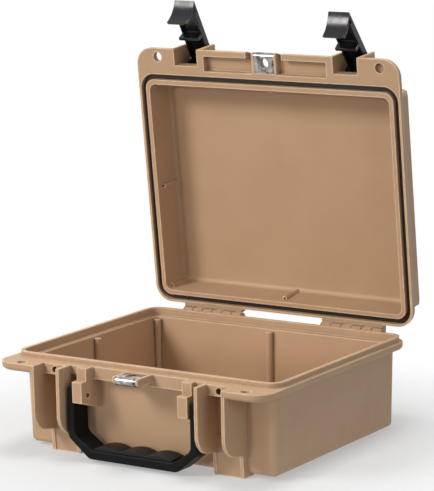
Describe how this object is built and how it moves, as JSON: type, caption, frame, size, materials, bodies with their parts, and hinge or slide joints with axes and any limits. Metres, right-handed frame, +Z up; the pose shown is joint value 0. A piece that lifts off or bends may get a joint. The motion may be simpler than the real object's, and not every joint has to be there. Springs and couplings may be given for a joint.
{
  "type": "protective hard case",
  "caption": "Small rigid moulded case with hinged lid, sealing gasket, swing latches, padlock tabs and folding carry handle, shown open.",
  "frame": {"origin": "plane of the skids' undersides, at the middle of the case's width and of its rim's depth", "axes": "+X to the right seen from the front, +Y to the hinge side, +Z up; the latches and the handle are on the -Y side"},
  "size_m": [0.269, 0.2776, 0.3673],
  "materials": {
    "case_shell": "fine moulded grain, tan",
    "seal": "dark, soft",
    "plated_clip": "bright plated sheet",
    "latch_black": "smooth, semi-gloss black",
    "pin_steel": "dark plain steel",
    "handle_black": "fine grain, black",
    "grip_rubber": "soft, black"
  },
  "bodies": {
    "base": {"base_shell": "case_shell", "base_hasp_clip": "plated_clip", "left_hinge_pin": "pin_steel", "right_hinge_pin": "pin_steel", "left_handle_pin": "pin_steel", "right_handle_pin": "pin_steel"},
    "lid": {"lid_shell": "case_shell", "lid_gasket": "seal", "lid_hasp_clip": "plated_clip", "left_latch_pin": "pin_steel", "right_latch_pin": "pin_steel"},
    "left_latch": {"left_latch": "latch_black"},
    "right_latch": {"right_latch": "latch_black"},
    "handle": {"handle_frame": "handle_black", "handle_grip": "grip_rubber"}
  },
  "joints": [
    {"name": "lid_hinge", "type": "hinge", "parent": "base", "child": "lid", "pos_m": [0, 0.127, 0.079], "axis": [1, 0, 0], "range_deg": [-16, 84]},
    {"name": "left_latch_pivot", "type": "hinge", "parent": "lid", "child": "left_latch", "pos_m": [-0.082, 0.12114, 0.30312], "axis": [1, 0, 0], "range_deg": [-32, 66]},
    {"name": "right_latch_pivot", "type": "hinge", "parent": "lid", "child": "right_latch", "pos_m": [0.082, 0.12114, 0.30312], "axis": [1, 0, 0], "range_deg": [-41, 57]},
    {"name": "handle_pivot", "type": "hinge", "parent": "base", "child": "handle", "pos_m": [0, -0.105, 0.056], "axis": [-1, 0, 0], "range_deg": [0, 100]}
  ]
}
